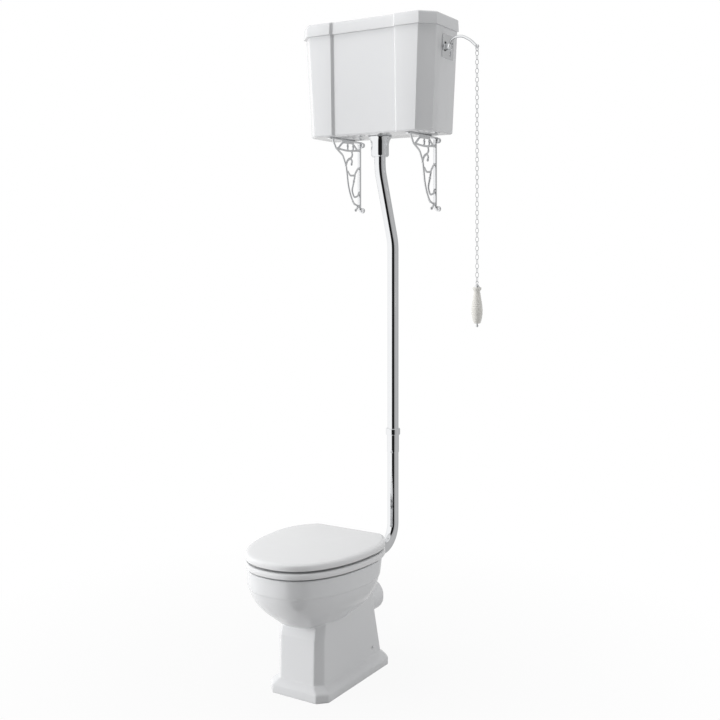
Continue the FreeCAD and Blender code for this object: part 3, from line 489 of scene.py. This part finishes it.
def turnedMesh(name, profile, centre, sides=64):  # rings (radius, height) about an upright axis
    rows = [[(centre[0] + r * math.cos(2 * math.pi * k / sides), centre[1] + r * math.sin(2 * math.pi * k / sides), z)
             for k in range(sides)] for r, z in profile]
    return newObject(name, meshFrom(name, *loft(rows)))


for name, look in pipeLook.items():
    edges = [(k, k + 1) for k in range(len(look["route"]) - 1)]
    piece = growPiece(name, pipes, {"Radius": pipeRadius, "Bend": look["bend"]}, look["route"], edges)
    if name == "lowerPipe":
        socket = turnedMesh("socket", [(0.0192, 0.630), (0.0202, 0.6325), (0.0205, 0.634), (0.0205, 0.6895),
                                       (0.0200, 0.691)], (0, pipeBack))
        joinMeshes(piece, socket)
    smoothShade(piece.data, 40)
    finishPiece(piece, "fixture", "chrome", [look["node"]])


def chainTree():
    g = GeometryGraph("linkChain", {"Wire": ("Float", 0.001), "Width": ("Float", 0.010), "Length": ("Float", 0.016),
                                    "Pitch": ("Float", 0.014), "Links": ("Int", 52),
                                    "Top": ("Vector", (0, 0, 0))})
    outline = g.put("GeometryNodeCurvePrimitiveQuadrilateral", {"mode": "RECTANGLE"},
                    {"Width": g.given("Width"), "Height": g.given("Length")})
    rounded = g.put("GeometryNodeFilletCurve", {"mode": "POLY"},
                    {"Curve": outline.outputs[0], "Count": 6, "Radius": g.given("Width") * 0.499,
                     "Limit Radius": True})
    ring = g.put("GeometryNodeCurvePrimitiveCircle", None, {"Resolution": 8, "Radius": g.given("Wire")})
    link = g.put("GeometryNodeCurveToMesh", None, {"Curve": rounded.outputs[0], "Profile Curve": ring.outputs[0]})
    standing = g.put("GeometryNodeTransform", None, {"Geometry": link.outputs[0],
                                                     "Rotation": (math.pi / 2, 0, 0)})
    drop = g.put("ShaderNodeCombineXYZ", None, {"Z": g.given("Pitch") * -1})
    line = g.put("GeometryNodeMeshLine", {"mode": "OFFSET"}, {"Count": g.given("Links"),
                                                             "Start Location": g.given("Top"),
                                                             "Offset": drop.outputs[0]})
    turn = g.value("GeometryNodeInputIndex").by("MODULO", 2) * (math.pi / 2)
    facing = g.put("ShaderNodeCombineXYZ", None, {"Z": turn})
    many = g.put("GeometryNodeInstanceOnPoints", None, {"Points": line.outputs[0], "Instance": standing.outputs[0],
                                                        "Rotation": facing.outputs[0]})
    return g.close(many.outputs[0], materials["chrome"])


pullLine = (0.362, 0.295)
chainLook = {"Wire": 0.001, "Width": 0.010, "Length": 0.016, "Pitch": 0.014, "Links": 52,
             "Top": (*pullLine, 1.94145)}
chain = growPiece("pullChain", chainTree(), chainLook)
smoothShade(chain.data, 60)
finishPiece(chain, "pull", "chrome", ["pull_chain"])
print("chain:", len(chain.data.polygons), "faces")


def handleTree():  # a swelling body ringed by ribs
    g = GeometryGraph("ribbedHandle", {"Top": ("Vector", (0, 0, 0)), "Bottom": ("Vector", (0, 0, -0.1)),
                                       "Neck": ("Float", 0.0105), "Swell": ("Float", 0.007),
                                       "Low Weight": ("Float", 1.35), "Ribs": ("Int", 17), "Rib": ("Float", 0.0011)})
    line = g.put("GeometryNodeCurvePrimitiveLine", {"mode": "POINTS"}, {"Start": g.given("Top"),
                                                                       "End": g.given("Bottom")})
    fine = g.put("GeometryNodeResampleCurve", {"mode": "COUNT"}, {"Curve": line.outputs[0], "Count": 273})
    share = g.value("GeometryNodeSplineParameter")
    bulge = (share ** g.given("Low Weight") * math.pi).by("SINE")
    rib = (share * g.given("Ribs") * math.pi).by("SINE").by("ABSOLUTE") ** 0.6
    ends = 1 - (share * 2 - 1).by("ABSOLUTE") ** 40
    radius = (g.given("Neck") + bulge * g.given("Swell") + rib * g.given("Rib")) * (0.55 + ends * 0.45)
    ring = g.put("GeometryNodeCurvePrimitiveCircle", None, {"Resolution": 48, "Radius": 1.0})
    body = g.put("GeometryNodeCurveToMesh", None, {"Curve": fine.outputs[0], "Profile Curve": ring.outputs[0],
                                                  "Scale": radius, "Fill Caps": True})
    return g.close(body.outputs[0], materials["pullChina"])


handleLook = {"Top": (*pullLine, 1.1875), "Bottom": (*pullLine, 1.088), "Neck": 0.0098, "Swell": 0.0070,
              "Low Weight": 1.35, "Ribs": 15, "Rib": 0.0012}
handle = growPiece("pullHandle", handleTree(), handleLook)
crownProfile = [(0.004, 1.1860), (0.0092, 1.1866), (0.0096, 1.1890), (0.0108, 1.1925), (0.0130, 1.1955),
                (0.0141, 1.1978), (0.0143, 1.1998), (0.0136, 1.2018), (0.0120, 1.2028), (0.0060, 1.2030)]
joinMeshes(handle, turnedMesh("crown", crownProfile, pullLine, 48))
smoothShade(handle.data, 60)
finishPiece(handle, "pull", "pull_china", ["pull_handle"])
print("handle:", len(handle.data.polygons), "faces")


# brackets

bracketLook = {"voxel": 0.0012, "rounds": 3}
for name, source in (("bracketLeft", "bracket_left"), ("bracketRight", "bracket_right")):
    piece = castCopy(name, source, bracketLook["voxel"], bracketLook["rounds"])
    finishPiece(piece, "fixture", "bracket_plate", [source])
print("brackets ready")


# remaining hard parts: rounded edges and their own finish

softCopies = {"flush_lever": ("flushLever", 0.0007, 3), "hinge_pillars": ("hingePillars", 0.0009, 2)}
for source, (name, voxel, rounds) in softCopies.items():
    piece = castCopy(name, source, voxel, rounds)
    finishPiece(piece, nodes[source]["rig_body"], slotOf[source], [source])
edgeWidths = {"lever_plate": 0.0007, "lever_screws": 0.0004, "lever_pivot_pin": 0.0006, "bell_cover": 0.0006,
            "pipe_collar": 0.0006, "handle_ferrule": 0.0004, "seat_hinge_knuckles": 0.0008,
            "lid_hinge_knuckles": 0.0008, "flush_cone": 0.001, "seat_buffers": 0.0008, "lid_buffers": 0.0008}
for source, width in edgeWidths.items():
    words = source.split("_")
    piece = bevelCopy(words[0] + "".join(w.title() for w in words[1:]), source, width)
    finishPiece(piece, nodes[source]["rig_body"], slotOf[source], [source])
for name, node in nodes.items():
    if not node.hide_render:
        node.data.materials.clear()
        node.data.materials.append(materials[materialOf[slotOf[name]]])
print("fittings ready")


# camera, floor and light

cameraLook = {"place": (1.77713, -2.66428, 1.30791), "turn": 32.0172, "lens": 51.669, "shift": -0.14734}
camera = bpy.data.objects.new("camera", bpy.data.cameras.new("camera"))
scene.collection.objects.link(camera)
camera.location = cameraLook["place"]
camera.rotation_euler = (math.radians(90), 0, math.radians(cameraLook["turn"]))
camera.data.sensor_width = 36
camera.data.lens = cameraLook["lens"]
camera.data.shift_y = cameraLook["shift"]
scene.camera = camera

floorMesh = bpy.data.meshes.new("floor")
floorMesh.from_pydata([(-40, -40, 0), (40, -40, 0), (40, 40, 0), (-40, 40, 0)], [], [(0, 1, 2, 3)])
floor = newObject("floor", floorMesh)
g = newMaterial("paleFloor")
seen = g.put("ShaderNodeLightPath").outputs["Is Camera Ray"]
matt = g.put("ShaderNodeBsdfDiffuse", None, {"Color": (0.5, 0.5, 0.5, 1)})
glow = g.put("ShaderNodeEmission", None, {"Color": (1, 1, 1, 1), "Strength": 1.0})
away = g.value("ShaderNodeVectorMath", {"operation": "LENGTH"}, {0: objectPlace(g)}, 1)
fade = g.value("ShaderNodeMapRange", None, {"Value": away, "From Min": 0.3, "From Max": 1.5, "To Min": 0.93,
                                            "To Max": 1.0})
share = fade * Value(g, seen)
both = g.put("ShaderNodeMixShader", None, {0: share, 1: matt.outputs[0], 2: glow.outputs[0]})
g.put("ShaderNodeOutputMaterial", None, {"Surface": both.outputs[0]})
floorMesh.materials.append(materials["paleFloor"])
floor.visible_glossy = False  # polished parts mirror the studio below the horizon too

skyLook = {"top": 0.80, "bands": [(-180, 0.50), (-125, 0.95), (-80, 1.05), (4, 1.05), (9, 0.012), (55, 0.012),
                                (61, 0.42), (100, 0.52), (180, 0.46)]}  # brightness round the horizon by angle
world = bpy.data.worlds.new("studio")
world.use_nodes = True
scene.world = world
g = Graph(world.node_tree)
where = g.put("ShaderNodeTexCoord").outputs["Generated"]
part = g.put("ShaderNodeSeparateXYZ", None, {0: where})
turn = Value(g, part.outputs["X"]).by("ARCTAN2", Value(g, part.outputs["Y"]) * -1)
stops = [((angle + 180) / 360, shade) for angle, shade in skyLook["bands"]]
ring = g.put("ShaderNodeValToRGB", {"stops": stops}, {0: turn * (0.5 / math.pi) + 0.5})
high = g.value("ShaderNodeMapRange", {"interpolation_type": "SMOOTHSTEP"},
               {"Value": Value(g, part.outputs["Z"]), "From Min": 0.72, "From Max": 0.9})
sky = g.tone(high, (0, 0, 0), (skyLook["top"],) * 3)
band = g.put("ShaderNodeMix", {"data_type": "RGBA"}, {0: high, 6: ring.outputs["Color"], 7: sky}).outputs[2]
seen = g.value("ShaderNodeLightPath", None, None, "Is Camera Ray")
shown = g.put("ShaderNodeMix", {"data_type": "RGBA"}, {0: seen, 6: band, 7: (1, 1, 1, 1)}).outputs[2]
glow = g.put("ShaderNodeBackground", None, {"Color": shown, "Strength": 1.0})
g.put("ShaderNodeOutputWorld", None, {"Surface": glow.outputs[0]})


def softbox(name, place, aim, width, height, power):
    light = bpy.data.objects.new(name, bpy.data.lights.new(name, "AREA"))
    scene.collection.objects.link(light)
    light.data.shape = "RECTANGLE"
    light.data.size, light.data.size_y = width, height
    light.data.energy = power
    light.location = place
    gap = [a - p for a, p in zip(aim, place)]
    light.rotation_euler = (math.atan2(math.hypot(gap[0], gap[1]), -gap[2]), 0, math.atan2(-gap[0], gap[1]))
    light.visible_glossy = False  # the sky alone is mirrored
    return light


softbox("keyLeft", (-3.6, -2.9, 1.0), (0, 0, 0.8), 2.0, 2.4, 124)
softbox("topSoft", (-0.4, -0.6, 4.4), (0, 0.1, 1.0), 2.2, 2.2, 30)
softbox("rightSide", (3.7, 1.5, 1.3), (0, 0.1, 1.0), 1.0, 2.4, 34)
scene.view_settings.view_transform = "Standard"
print("stage ready")
